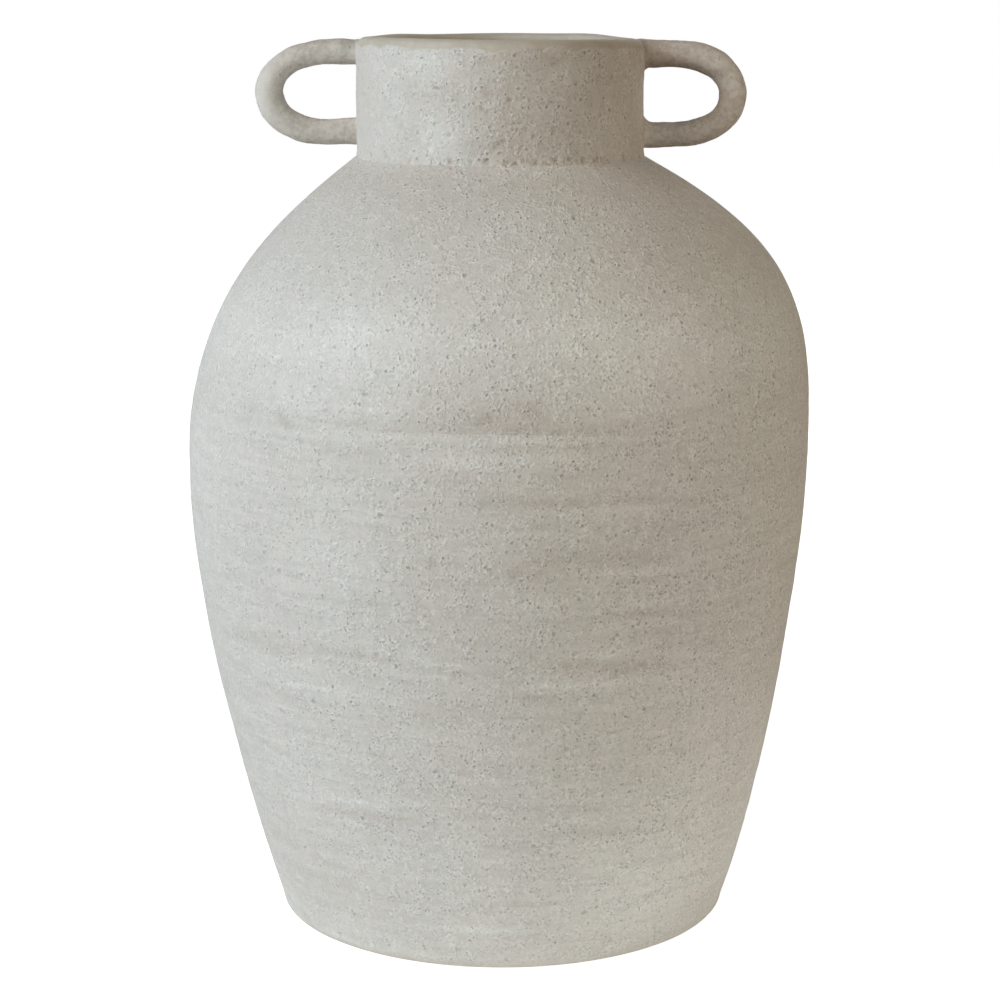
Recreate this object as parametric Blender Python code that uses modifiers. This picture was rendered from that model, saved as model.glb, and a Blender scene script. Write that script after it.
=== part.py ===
"""Round-shouldered stoneware vase with a short wide neck and two loop handles.

The vase is built the way it is made by hand: a foot slab, two thrown walls, a neck collar and two
round coils bent to handles, each luted to the next with a thin layer of slip. Lengths are in
metres, +Z is up, the floor is at Z = 0, the handles lie along X and the front faces -Y.
"""

import math

import bmesh
import bpy

# Overall form
HEIGHT = 0.350
BASE_RADIUS = 0.089
BELLY_RADIUS = 0.1235
BELLY_HEIGHT = 0.189
NECK_RADIUS = 0.056
NECK_HEIGHT = 0.0456

# Clay thickness and edges
BODY_WALL = 0.007
NECK_WALL = 0.0085
LIP_DEPTH = 0.0035
FOOT_ROUND = 0.005
FOOT_LAND = 0.001

# Luted joints
SLIP = 0.0003
FOOT_SPIGOT = 0.004
BELLY_SEAM_RISE = 0.0255
BELLY_TONGUE = 0.005
NECK_TONGUE = 0.005

# Handles: coil thickness, how far each loop reaches out of the neck, the straight run at its
# ends, and the distances from the crest of the lip and from the root of the neck
COIL_RADIUS = 0.0052
LEFT_REACH = 0.0337
LEFT_LEG = 0.0138
LEFT_LIP_DROP = 0.0006
LEFT_ROOT_GAP = 0.0040
RIGHT_REACH = 0.0354
RIGHT_LEG = 0.0108
RIGHT_LIP_DROP = 0.0016
RIGHT_ROOT_GAP = 0.0034

# Hand-made lean of the shoulder towards +X, greatest high on the shoulder
LEAN = 0.0047
LEAN_SKEW = 1.83

# Pulls of the two curves of the outline, each as shares of the way across and of the way up
LOWER_PULLS = ((0.44, 0.24), (1.0, 0.69))
UPPER_PULLS = ((0.0, 0.563), (0.375, 0.76))

# Fineness of the facets
TURN_STEPS = 64
CURVE_STEPS = 12
ROUND_STEPS = 4
COIL_BENDS = 20
COIL_BEVEL = 5
WELD = 0.00001
SHARP_ANGLE = math.radians(40)

# Heights and radii that follow from the sizes above
NECK_ROOT = HEIGHT - NECK_HEIGHT
NECK_BORE = NECK_RADIUS - NECK_WALL
NECK_TONGUE_RADIUS = NECK_BORE + (NECK_WALL - SLIP) / 2
FOOT_LEDGE = FOOT_ROUND + FOOT_LAND
BELLY_SEAM = BELLY_HEIGHT + BELLY_SEAM_RISE

# Colour as linear red, green and blue, then roughness, for each piece
FINISHES = {
    "foot_slab": ((0.46, 0.42, 0.36), 0.92),
    "lower_wall": ((0.55, 0.53, 0.48), 0.95),
    "upper_wall": ((0.57, 0.55, 0.50), 0.95),
    "neck_collar": ((0.53, 0.51, 0.46), 0.93),
    "left_handle": ((0.47, 0.44, 0.39), 0.88),
    "right_handle": ((0.45, 0.42, 0.37), 0.88),
}


def clear_scene():
    for obj in list(bpy.data.objects):
        bpy.data.objects.remove(obj, do_unlink=True)


def new_collection(name):
    collection = bpy.data.collections.new(name)
    bpy.context.scene.collection.children.link(collection)
    return collection


def finish(name):
    """The clay finish of one piece."""
    color, roughness = FINISHES[name]
    material = bpy.data.materials.new(name + "_clay")
    material.use_nodes = True
    shader = material.node_tree.nodes["Principled BSDF"]
    shader.inputs["Base Color"].default_value = (*color, 1.0)
    shader.inputs["Roughness"].default_value = roughness
    shader.inputs["Metallic"].default_value = 0.0
    return material


def curve_between(start, end, pulls):
    """Points of a cubic curve, whose pulls are shares of the way across and of the way up."""
    across, up = end[0] - start[0], end[1] - start[1]
    bends = [(start[0] + a * across, start[1] + u * up) for a, u in pulls]
    controls = (start, *bends, end)
    points = []
    for step in range(CURVE_STEPS + 1):
        t = step / CURVE_STEPS
        weights = ((1 - t) ** 3, 3 * t * (1 - t) ** 2, 3 * t * t * (1 - t), t**3)
        radius = sum(w * c[0] for w, c in zip(weights, controls))
        height = sum(w * c[1] for w, c in zip(weights, controls))
        points.append((radius, height))
    return points


def outer_outline():
    """The outside of the body, rising from the floor to the root of the neck."""
    belly = (BELLY_RADIUS, BELLY_HEIGHT)
    lower = curve_between((BASE_RADIUS, 0.0), belly, LOWER_PULLS)
    upper = curve_between(belly, (NECK_RADIUS, NECK_ROOT), UPPER_PULLS)
    return lower + upper[1:]


def inner_outline(outer):
    """The inside of the body, a wall's thickness in from each point of the outside."""
    inner = []
    for index, (radius, height) in enumerate(outer):
        before = outer[max(index - 1, 0)]
        after = outer[min(index + 1, len(outer) - 1)]
        run, rise = after[0] - before[0], after[1] - before[1]
        length = math.hypot(run, rise)
        inner.append((radius - BODY_WALL * rise / length, height + BODY_WALL * run / length))
    return inner


def radius_at(outline, height):
    for (r0, z0), (r1, z1) in zip(outline, outline[1:]):
        if z0 <= height <= z1:
            return r0 + (r1 - r0) * (height - z0) / (z1 - z0)
    raise ValueError("the outline doesn't reach this height")


def stretch(outline, low, high):
    """The part of a rising outline between two heights, with a point at each end and no sliver."""
    between = [point for point in outline if low + SLIP < point[1] < high - SLIP]
    ends = (radius_at(outline, low), low), (radius_at(outline, high), high)
    return [ends[0], *between, ends[1]]


def inside_to_neck(inner, low):
    """The inside from a height up to where the shoulder's underside meets the bore of the neck."""
    (r0, z0), (r1, z1) = inner[-2:]
    corner = (NECK_BORE, z0 + (r0 - NECK_BORE) * (z1 - z0) / (r0 - r1))
    rising = [point for point in inner if point[1] > low + SLIP and point[0] > NECK_BORE + SLIP]
    return [(radius_at(inner, low), low), *rising, corner]


def round_edge(center, across, up, start, end):
    """Points of an elliptic edge between two angles in degrees, 0 being outward and 90 up."""
    points = []
    for step in range(ROUND_STEPS + 1):
        angle = math.radians(start + (end - start) * step / ROUND_STEPS)
        points.append((center[0] + across * math.cos(angle), center[1] + up * math.sin(angle)))
    return points


def lean_at(height):
    """Sideways shift of the shoulder, which fades out at the belly and at the neck."""
    share = (height - BELLY_HEIGHT) / (NECK_ROOT - BELLY_HEIGHT)
    if not 0 < share < 1:
        return 0.0
    return LEAN * math.sin(math.pi * share**LEAN_SKEW)


def turned(name, outline, collection):
    """A full turn of an outline that runs down its outer side, with the shoulder's lean."""
    on_axis = outline[0][0] == 0
    edges = [(i, i + 1) for i in range(len(outline) - 1)]
    if not on_axis:
        edges.append((len(outline) - 1, 0))
    profile = bpy.data.meshes.new(name + "_profile")
    profile.from_pydata([(radius, 0, height) for radius, height in outline], edges, [])
    guide = bpy.data.objects.new(name + "_guide", profile)
    collection.objects.link(guide)
    screw = guide.modifiers.new("turn", "SCREW")
    screw.axis = "Z"
    screw.angle = 2 * math.pi
    screw.steps = TURN_STEPS
    screw.render_steps = TURN_STEPS
    screw.use_merge_vertices = True
    screw.merge_threshold = WELD
    mesh = solid_mesh(guide, name)
    for vertex in mesh.vertices:
        vertex.co.x += lean_at(vertex.co.z)
    return place(name, mesh, collection)


def solid_mesh(guide, name):
    """The evaluated shape of a guide as a closed mesh in world space; the guide is removed."""
    bpy.context.view_layer.update()
    evaluated = guide.evaluated_get(bpy.context.evaluated_depsgraph_get())
    mesh = bpy.data.meshes.new_from_object(evaluated)
    mesh.name = name
    mesh.transform(guide.matrix_world)
    shape = bmesh.new()
    shape.from_mesh(mesh)
    bmesh.ops.remove_doubles(shape, verts=shape.verts, dist=WELD)
    bmesh.ops.recalc_face_normals(shape, faces=shape.faces)
    shape.to_mesh(mesh)
    shape.free()
    bpy.data.objects.remove(guide, do_unlink=True)
    return mesh


def place(name, mesh, collection):
    mesh.shade_smooth()
    mesh.set_sharp_from_angle(angle=SHARP_ANGLE)
    obj = bpy.data.objects.new(name, mesh)
    collection.objects.link(obj)
    if name in FINISHES:
        mesh.materials.clear()
        mesh.materials.append(finish(name))
    return obj


def foot_slab(outer, inner, collection):
    """The rolled disc: a rounded edge, a ledge for the wall and a spigot that centres it."""
    edge = radius_at(outer, FOOT_ROUND)
    spigot = radius_at(inner, FOOT_LEDGE) - SLIP
    floor = FOOT_LEDGE + FOOT_SPIGOT
    outline = [(0, floor), (spigot, floor), (spigot, FOOT_LEDGE)]
    outline.append((radius_at(outer, FOOT_LEDGE), FOOT_LEDGE))
    center = (edge - FOOT_ROUND, FOOT_ROUND)
    outline += round_edge(center, FOOT_ROUND, FOOT_ROUND, 0, -90)
    outline.append((0, 0))
    return turned("foot_slab", outline, collection)


def belly_tongue_radius(outer, inner):
    return (radius_at(outer, BELLY_SEAM) + radius_at(inner, BELLY_SEAM) - SLIP) / 2


def lower_wall(outer, inner, collection):
    """The wall from the foot slab to the belly, with a tongue on the inner half of its top."""
    foot = FOOT_LEDGE + SLIP
    tongue_top = BELLY_SEAM + BELLY_TONGUE
    tongue = belly_tongue_radius(outer, inner)
    outline = stretch(outer, foot, BELLY_SEAM)[::-1]
    outline += stretch(inner, foot, tongue_top)
    outline += [(tongue, tongue_top), (tongue, BELLY_SEAM)]
    return turned("lower_wall", outline, collection)


def upper_wall(outer, inner, collection):
    """The wall over the shoulder: rebated on the tongue below, with a tongue for the neck."""
    seam = BELLY_SEAM + SLIP
    rebate_top = seam + BELLY_TONGUE
    rebate = belly_tongue_radius(outer, inner) + SLIP
    tongue_top = NECK_ROOT + NECK_TONGUE
    outline = stretch(outer, seam, NECK_ROOT)[::-1]
    outline += [(rebate, seam), (rebate, rebate_top)]
    outline += inside_to_neck(inner, rebate_top)
    outline += [(NECK_BORE, tongue_top), (NECK_TONGUE_RADIUS, tongue_top)]
    outline.append((NECK_TONGUE_RADIUS, NECK_ROOT))
    return turned("upper_wall", outline, collection)


def neck_collar(collection):
    """The collar: rebated on the shoulder's tongue, with a rounded lip."""
    foot = NECK_ROOT + SLIP
    rebate = NECK_TONGUE_RADIUS + SLIP
    rebate_top = foot + NECK_TONGUE
    middle = (NECK_RADIUS - NECK_WALL / 2, HEIGHT - LIP_DEPTH)
    outline = round_edge(middle, NECK_WALL / 2, LIP_DEPTH, 90, 0)
    outline += [(NECK_RADIUS, foot), (rebate, foot), (rebate, rebate_top)]
    outline.append((NECK_BORE, rebate_top))
    outline += round_edge(middle, NECK_WALL / 2, LIP_DEPTH, 180, 90)[:-1]
    return turned("neck_collar", outline, collection)


def neck_seat(collection):
    """A cutter: the outside of the neck, grown by the slip, which copes the handles' ends."""
    middle = (NECK_RADIUS - NECK_WALL / 2, HEIGHT - LIP_DEPTH)
    outline = [(0, HEIGHT + SLIP)]
    outline += round_edge(middle, NECK_WALL / 2 + SLIP, LIP_DEPTH + SLIP, 90, 0)
    outline += [(NECK_RADIUS + SLIP, NECK_ROOT), (0, NECK_ROOT)]
    cutter = turned("neck_seat", outline, collection)
    cutter.hide_render = True
    cutter.display_type = "WIRE"
    return cutter


def handle_path(side, reach, leg, lip_drop, root_gap):
    """The coil's centre line: a straight leg, half an ellipse and a straight leg back."""
    top = HEIGHT - lip_drop - COIL_RADIUS
    bottom = NECK_ROOT + root_gap + COIL_RADIUS
    half_height = (top - bottom) / 2
    inside = NECK_RADIUS - NECK_WALL / 2
    bend_start = NECK_RADIUS + leg
    path = [(inside, top)]
    for step in range(COIL_BENDS + 1):
        angle = math.pi * (0.5 - step / COIL_BENDS)
        out = bend_start + (reach - leg) * math.cos(angle)
        path.append((out, bottom + half_height * (1 + math.sin(angle))))
    path.append((inside, bottom))
    return [(side * out, 0.0, height) for out, height in path]


def handle(name, path, seat, collection):
    """A round coil along a path, coped where it meets the neck."""
    data = bpy.data.curves.new(name + "_path", "CURVE")
    data.dimensions = "3D"
    data.bevel_depth = COIL_RADIUS
    data.bevel_resolution = COIL_BEVEL
    data.use_fill_caps = True
    spline = data.splines.new("POLY")
    spline.points.add(len(path) - 1)
    for point, spot in zip(spline.points, path):
        point.co = (*spot, 1.0)
    guide = bpy.data.objects.new(name + "_guide", data)
    collection.objects.link(guide)
    coil = place(name, solid_mesh(guide, name), collection)
    cope = coil.modifiers.new("cope", "BOOLEAN")
    cope.operation = "DIFFERENCE"
    cope.solver = "EXACT"
    cope.object = seat
    return coil


def build():
    clear_scene()
    vase = new_collection("loop_handle_vase")
    cutters = new_collection("cutters")
    outer = outer_outline()
    inner = inner_outline(outer)
    foot_slab(outer, inner, vase)
    lower_wall(outer, inner, vase)
    upper_wall(outer, inner, vase)
    neck_collar(vase)
    seat = neck_seat(cutters)
    left = handle_path(-1, LEFT_REACH, LEFT_LEG, LEFT_LIP_DROP, LEFT_ROOT_GAP)
    handle("left_handle", left, seat, vase)
    right = handle_path(1, RIGHT_REACH, RIGHT_LEG, RIGHT_LIP_DROP, RIGHT_ROOT_GAP)
    handle("right_handle", right, seat, vase)


build()
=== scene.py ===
"""Looks of the vase with two loop handles: a gritty slip coat over a hand-built stoneware body.

Lengths are in metres, and in millimetres where a comment says so, in the part's own frame: +Z up,
the floor at Z = 0, the handles along X and the front towards -Y. Each piece stands for the CAD
solid of the same name. Angles round the vase are in degrees, 0 at +X and -90 at the front.
"""

import math

import bpy
import numpy as np
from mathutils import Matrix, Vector
from mathutils import noise as perlin


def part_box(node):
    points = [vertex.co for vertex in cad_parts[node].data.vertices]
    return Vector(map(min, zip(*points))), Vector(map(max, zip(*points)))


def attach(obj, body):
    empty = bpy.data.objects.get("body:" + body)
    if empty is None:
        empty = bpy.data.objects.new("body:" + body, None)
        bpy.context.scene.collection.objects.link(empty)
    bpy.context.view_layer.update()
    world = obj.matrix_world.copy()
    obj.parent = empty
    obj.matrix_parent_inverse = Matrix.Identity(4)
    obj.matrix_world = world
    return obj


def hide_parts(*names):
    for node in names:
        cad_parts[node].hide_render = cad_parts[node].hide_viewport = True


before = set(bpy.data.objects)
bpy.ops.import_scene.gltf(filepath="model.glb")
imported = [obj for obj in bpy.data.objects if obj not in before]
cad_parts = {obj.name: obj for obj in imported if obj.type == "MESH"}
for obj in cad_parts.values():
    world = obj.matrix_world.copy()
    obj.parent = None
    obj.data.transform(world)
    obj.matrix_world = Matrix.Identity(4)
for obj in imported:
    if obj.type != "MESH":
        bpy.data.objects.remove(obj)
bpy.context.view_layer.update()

MILLIMETRES = 1000
TINY = 1e-6

# Camera of the photograph
CAMERA_DISTANCE = 1.064
CAMERA_HEIGHT = 0.378
CAMERA_PITCH = 11.28
CAMERA_LENS = 96.8
SENSOR = 36.0
CLIP = (0.01, 100)

# Sizes of the body, as in the CAD part
SLIP = 0.0003
BASE_RADIUS = 0.089
BELLY_HEIGHT = 0.189
BODY_WALL = 0.007
NECK_WALL = 0.0085
LIP_DEPTH = 0.0035
FOOT_ROUND = 0.005
FOOT_SPIGOT = 0.004
JOINT_TONGUE = 0.005
LEAN = 0.0047
LEAN_SKEW = 1.83
LOWER_PULLS = ((0.44, 0.24), (1.0, 0.69))
UPPER_PULLS = ((0.0, 0.563), (0.375, 0.76))

# Sizes read from the frame
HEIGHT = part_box("neck_collar")[1].z
NECK_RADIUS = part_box("neck_collar")[1].y
NECK_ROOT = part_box("neck_collar")[0].z - SLIP
BELLY_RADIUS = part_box("lower_wall")[1].y
BELLY_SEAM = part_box("upper_wall")[0].z - SLIP
FOOT_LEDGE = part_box("lower_wall")[0].z - SLIP
NECK_BORE = NECK_RADIUS - NECK_WALL

# Fineness of the grids
COLUMNS = 384
NECK_COLUMNS = 704
ROW = 0.00095
NECK_ROW = 0.0005
HIDDEN_ROW = 0.007
BORE_ROW = 0.002
CURVE_STEPS = 400
LIP_OUT_POINTS = 14
LIP_IN_POINTS = 12
FOOT_EDGE_POINTS = 9
INNER_SKIP = 24
COIL_RINGS = 230
COIL_SIDES = 56
END_CROWDING = 0.6
SHARP = math.radians(70)

# Hand-made irregularity of the body: a slow sway from side to side below the belly seam
SWAY = 0.00095
SWAY_WAVE = 0.264
SWAY_ZERO = 0.084

# Up and down waves of the lip: turns per round, height, and the angle of a crest
LIP_WAVES = ((1, 0.00039, -141), (2, 0.00027, 78), (3, 0.00023, -37))

# Two high places of the lip at the back: angle, spread in degrees, and height
LIP_CRESTS = ((46, 16, 0.0007), (143, 16, 0.0007))

# How far below the lip its waves end, and how far below it the neck's relief starts to fade out
LIP_WAVE_REACH = 0.02
LIP_CALM = 0.002

# The belly seam: it arches over the front, and there the lower wall stands proud of the upper one.
# Sides are an angle round the vase and a spread in degrees
SEAM_DROP = 0.0006
SEAM_ARCH = 0.0024
SEAM_ARCH_CENTER = -98
SEAM_ARCH_WIDTH = 72
SEAM_REACH = 0.02
RIDGE_STEP = 0.0003
RIDGE_SIDE = (-97, 31)
RIDGE_ABOVE = 0.0055
RIDGE_BELOW = 0.0035
# Tones of the ridge: a line of painted shade just above the seam, a darker band above it that is partly
# painted shade and partly a thinner coat, and a painted highlight on the edge below the seam
RIDGE_SHADE_RISE = 0.0016
RIDGE_SHADE_SOFT = 0.002
RIDGE_BAND_SIDE = (-79, 20)
RIDGE_BAND_RISE = 0.009
RIDGE_EDGE_DROP = 0.0022
RIDGE_SHADE_TONE = 0.64
RIDGE_BAND_TONE = 0.38
RIDGE_HIGHLIGHT_TONE = 0.5

# Marks of the throwing and smoothing on the body, shallow creases and crests in relief with painted
# shade in the creases and painted light on the crests: angle round the vase and half length in degrees,
# height, rise from end to end and thickness in millimetres, and strength, which is above 0 for a
# light crest and below 0 for a dark crease
BODY_MARKS = (
    (-79, 13, 208.6, -0.3, 1.3, -0.8), (-90, 15, 204.3, -2.5, 2.8, 0.6),
    (-79, 6, 197.5, 0, 4, -0.5), (-80, 2, 193.3, 0, 1.2, 0.7),
    (-84, 11, 189.2, -0.9, 2, -0.8), (-68, 7, 188.3, -0.9, 1.6, -0.5),
    (-70, 10, 185.1, -1.2, 1.5, 0.9), (-71, 12, 167.8, -2.8, 3.2, -0.7),
    (-66, 8, 161.3, -0.5, 1.3, 1), (-65, 7, 158.5, -1.9, 1.4, -0.7),
    (-85, 6, 151.9, -0.5, 1.8, 0.7), (-63, 6, 148.8, -0.9, 1.3, 0.8),
    (-63, 9, 144.9, -1.4, 2, -0.8), (-62, 4, 140.6, 0.6, 1.3, 0.6),
    (-66, 5, 131.8, 2.5, 1.4, 1.1), (-73, 4, 130.5, -0.4, 1.3, 0.6),
    (-70, 12, 126.3, -2.8, 2.4, -0.9), (-77, 12, 119.4, 0, 1.4, 1),
    (-61, 12, 117.9, -2.9, 1.4, 0.4), (-82, 4, 115, -0.6, 1.6, -0.6),
    (-137, 12, 126.9, 0.9, 2.4, -0.9), (-117, 10, 128.7, -1.2, 2, -1),
    (-124, 15, 113, 1, 1.7, 0.8), (-99, 2, 124.1, 0, 1.6, -0.6),
    (-71, 8, 110.5, -3, 1.4, 0.5), (-121, 14, 67.7, 3.4, 1.9, 0.8),
    (-117, 14, 63.2, 3, 1.9, -0.9), (-67, 11, 57.7, -4.3, 1.6, -0.7),
    (-93, 10, 17.8, 0, 1.8, 1.2), (-127, 14, 249.9, 3, 4.5, 0.4),
    (-131, 2.2, 213.4, -4.8, 1.4, -1.8), (-93, 1, 219.3, 0, 2.4, -1.1),
    (-86, 1.2, 220.8, 0, 2.2, -1.1), (-87, 1, 163.1, 0, 2, -1),
    (-110, 0.8, 163, 0, 2.2, -0.9), (-101, 0.8, 165.9, 0, 2.6, -0.9),
    (-89, 7, 221, 0, 4.5, -0.5), (118, 16, 176, 2, 2.6, 0.9),
    (112, 12, 171.5, 2, 2.2, -0.8), (62, 20, 143, -3, 2.4, -0.9),
    (58, 12, 138.5, -2, 1.6, 0.8), (95, 12, 202, 1, 2.4, 0.9),
    (30, 14, 110, -1, 2, 0.8), (35, 10, 106, -1, 2, -0.7),
    (140, 15, 82, 2, 2.4, -0.8), (135, 10, 86.5, 2, 1.6, 0.8),
    (165, 14, 157, -2, 2.2, -0.7), (0, 12, 188, -1.5, 2, 0.7),
    (-20, 12, 150, -2, 2, -0.7),
)
CREASE = 0.00022
# Strength of the painted light and shade of the marks and of the ridge's tones
MARK_TONE = 0.65

# Streaks of the throwing: they tilt, cover the body in patches, and all but end on the shoulder
# and at the foot
THROW_TILT = 0.002
THROW_TILT_PHASE = 0.6
THROW_COVER = 0.55
THROW_TOP = 0.222
THROW_TOP_SOFT = 0.008
THROW_FOOT = 0.012
THROW_FOOT_SOFT = 0.006
THROW_REST = 0.25

# Noises of the relief: height or share, size of the cells, and seed
NOISE_SHIFT = (17.3, 5.1, 9.7)
BODY_LUMPS = (0.0003, 0.034, 1)
BODY_DENTS = (0.00012, 0.013, 2)
FINE_THROWS = (0.00006, (0.03, 0.03, 0.0022), 3)
BROAD_THROWS = (0.00013, (0.07, 0.07, 0.0048), 4)
THROW_PATCHES = (0.9, (0.055, 0.055, 0.03), 5)
RIDGE_PATCHES = (0.6, 0.011, 6)
MARK_PATCHES = (0.6, (0.005, 0.005, 0.0025), 7)
NECK_LUMPS = (0.00035, 0.022, 11)
NECK_DENTS = (0.00013, 0.006, 12)
NECK_GRAIN = (0.00007, (0.0026, 0.0026, 0.0018), 13)
NECK_GRIT = (0.00003, 0.0009, 14)
BEAD_PATCHES = (0.5, (0.004, 0.004, 0.02), 15)

# The same for the handles, whose three noises count on from a seed of their own
COIL_LUMPS = (0.0003, 0.0075)
COIL_DENTS = (0.00011, 0.0026)
COIL_GRAIN = (0.00004, 0.0011)
LEFT_SEED = 21
RIGHT_SEED = 31

# Broad lighter and darker patches of the coat, mostly painted light and shade: a painted lit band
# round the shoulder, a painted shaded ring under the neck, and painted light and shade on the sides.
# Angle and half length in degrees, height and thickness in millimetres, and tone
COAT_TONES = (
    (-90, 500, 244, 16.5, 0.5), (-118, 24, 242, 13, 0.35), (-64, 22, 244, 13, 0.6),
    (-126, 22, 222, 9, 0.25), (-92, 14, 219, 8, -0.25), (-90, 500, 299, 10, -0.55),
    (-74, 36, 170, 58, -0.32), (-115, 10, 163, 22, 0.35), (-30, 22, 85, 30, 0.4),
    (-48, 30, 32, 33, 0.75), (-5, 16, 230, 30, -0.5), (-10, 17, 45, 40, 1),
    (-168, 22, 190, 60, 0.55), (-66, 22, 302, 4, 0.35), (-112, 12, 284, 8, -0.28),
    (-92, 20, 238, 15, -0.36), (-108, 16, 40, 20, 0.38), (-83, 6, 162, 7, -0.45),
    (-66, 14, 224, 10, 0.45), (-133, 9, 249, 6, -0.3), (-46, 9, 248, 7, -0.3),
    (-106, 8, 126, 8, 0.4), (-56, 12, 133, 8, -0.3), (-74, 14, 108, 25, -0.18),
    (-130, 26, 33, 25, -0.45),
)

# The same for the neck: painted light and shade in patches where its dents catch the light and where they
# turn from it, and a darker right side
NECK_TONES = (
    (-40, 52, 330, 50, -1.2), (-64, 30, 344, 7, -0.6), (-112, 9, 314.5, 7, 0.7),
    (-119, 14, 330, 4, -0.4), (-118, 10, 343, 4, 0.4), (-95, 2.2, 330.6, 1.6, -1),
    (-69, 2.6, 342, 2, -0.8), (-92, 13, 325, 12, -0.42), (-94, 13, 311.5, 4, -0.45),
    (-48, 16, 334, 10, -0.5), (-8, 14, 325, 10, 0.9), (-63, 9, 339, 5, 0.55),
    (-22, 10, 344, 6, -0.45),
)

# And for the bare rim, which is darker on the right and along the back: painted shadow of the front lip
# on the inside of the far lip, of the right handle's top joint on the rim, and painted shade on the
# inside at the back
RIM_TONES = (
    (-20, 46, 348, 8, -1.4), (-10, 16, 348, 6, -0.9), (115, 24, 348, 6, -1.1),
    (85, 45, 347.2, 0.9, -1.4), (-56, 24, 348, 8, -0.55), (-125, 30, 348, 8, 0.15),
)

# Coils of the handles: reach from the axis, height and radius, in millimetres, from the top
# joint round to the bottom one
LEFT_STATIONS = (
    (53.5, 344.1, 4.9), (58.0, 344.25, 5.0), (62.0, 344.5, 5.15), (66.2, 344.4, 4.95),
    (70.2, 344.2, 4.85), (75.0, 343.3, 4.75), (79.9, 341.7, 4.8), (84.1, 339.3, 4.8),
    (87.5, 336.3, 5.1), (89.6, 332.8, 5.35), (90.4, 329.0, 5.45), (89.7, 325.2, 5.5),
    (88.0, 321.5, 5.45), (84.9, 318.1, 5.25), (80.5, 315.6, 5.1), (75.4, 313.9, 5.15),
    (70.0, 313.3, 5.05), (64.6, 313.35, 5.0), (59.5, 313.5, 5.2), (53.5, 313.6, 5.5),
)
RIGHT_STATIONS = (
    (53.5, 343.6, 5.6), (57.3, 343.6, 5.55), (61.0, 343.6, 5.4), (65.0, 343.6, 5.25),
    (69.5, 343.4, 5.25), (74.6, 342.9, 5.5), (80.1, 341.5, 5.6), (84.9, 339.1, 5.45),
    (88.4, 335.7, 5.4), (90.5, 331.9, 5.3), (91.2, 328.0, 5.35), (90.7, 324.1, 5.3),
    (88.8, 320.2, 5.2), (85.3, 316.8, 5.1), (80.5, 314.4, 5.1), (75.0, 312.8, 5.0),
    (69.3, 312.3, 4.85), (64.0, 312.1, 4.9), (58.5, 312.1, 5.0), (53.5, 312.1, 5.1),
)

# Rounded corners where the coils meet the neck, at the top and the bottom joint: size towards
# the loop's hole and size away from it
LEFT_CORNERS = ((0.0006, 0.0002), (0.001, 0.0004))
RIGHT_CORNERS = ((0.0028, 0.0), (0.0042, 0.001))

# Painted light and shade of each handle: a tone for the whole, which is darker for the right handle on
# the shaded side, and patches of painted shadow and painted highlight: reach from the axis, height, half
# width and half height in millimetres, and tone
LEFT_TONE = 0.05
# Painted highlights on the left handle: near the neck, along its limbs and on the outer and inner side of
# its bend
LEFT_PAINTED_LIGHT = (
    (55, 345, 5, 5, 0.5), (92, 333, 6, 12, 0.7), (93, 322, 6, 7, 0.45),
    (78, 314, 6, 5, 0.3), (64, 345, 7, 3, 0.4), (84, 329, 3.5, 9, 0.2),
)
RIGHT_PAINTED_SHADE = -0.65
# Painted shadow of the neck under the right handle's upper limb and at its top joint, painted highlights
# on its bend, and a darker lower limb
RIGHT_PAINTED_SHADOW_AND_LIGHT = (
    (57, 341, 8, 5.5, -1.9), (56, 347, 4, 3.5, -1.1), (66, 339.4, 6, 3.6, -1.8),
    (75, 338, 6, 2.8, -1.7), (83, 335.8, 5, 2.4, -1.1), (87, 340, 7, 6, 1.25),
    (92, 328, 5, 8, 0.5), (72, 311, 11, 5, -0.6),
)

# Coat edge under the lip. Its scallops are rounded dabs: the shifts hold turns per round, amount
# and phase of waves that space them unevenly, and the beats vary their size
SCALLOPS_PER_RADIAN = 9
SCALLOP_SHIFTS = ((2, 0.9, 1.0), (5, 0.7, 0.0))
SCALLOP_SIZE = 0.65
SCALLOP_VARIES = 0.35
SCALLOP_BEATS = (3, 7)
SCALLOP_BEAT_PHASE = 2
SCALLOP_ROUNDNESS = 0.7
COAT_EDGE_DROP = 0.0042
COAT_LOBE = 0.0022
COAT_EDGE_SOFT = 0.0008
COAT_THICKNESS = 0.00028

# Open pits of the neck, with sizes and depths as shares of the radius and the depth. They are
# shallower on its left
NECK_PITS = 620
PIT_SEED = 7
PIT_RADIUS = 0.00085
PIT_SMALLEST = 0.5
PIT_SIZE_SPREAD = 0.75
PIT_SIZE_POWER = 4
PIT_DEPTH = 0.00045
PIT_DEPTHS = (0.5, 1.2)
PIT_REACH = 2.5
PIT_MARGIN = 0.001
# Darkening of the pits in the tone, partly stain and partly painted shade
PIT_STAIN_AND_SHADE_TONE = 0.9
PIT_CALM_SIDE = (-145, 38)
PIT_CALM = 0.35

# The row of pits along the neck's root
ROOT_PITS = 96
ROOT_PIT_JITTER = 0.6
ROOT_PIT_RISE = 0.0009
ROOT_PIT_SPREAD = 0.0006
ROOT_PIT_SIZES = (0.45, 1.35)
ROOT_PIT_DEPTHS = (1.0, 1.4)

# The bead of slip at the root, whose lower edge is tucked into the shoulder, and the corners there
ROOT_BEAD = 0.0005
ROOT_BEAD_RISE = 0.0009
ROOT_TUCK = 0.0004
ROOT_INSET = 0.0015
NECK_CORNER_RISE = 0.0004

# The coat's share at the top of the foot, which counts as 1 at most, and how far it falls from there
FOOT_COAT_FULL = 1.3
FOOT_COAT_FADE = 1.6

# Floor inside the vase
DISC_EYE = 0.0008
FLOOR_ROW = 0.0022
FLOOR_SPIRAL_PITCH = 0.011
FLOOR_SPIRAL_DEPTH = 0.0008

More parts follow.
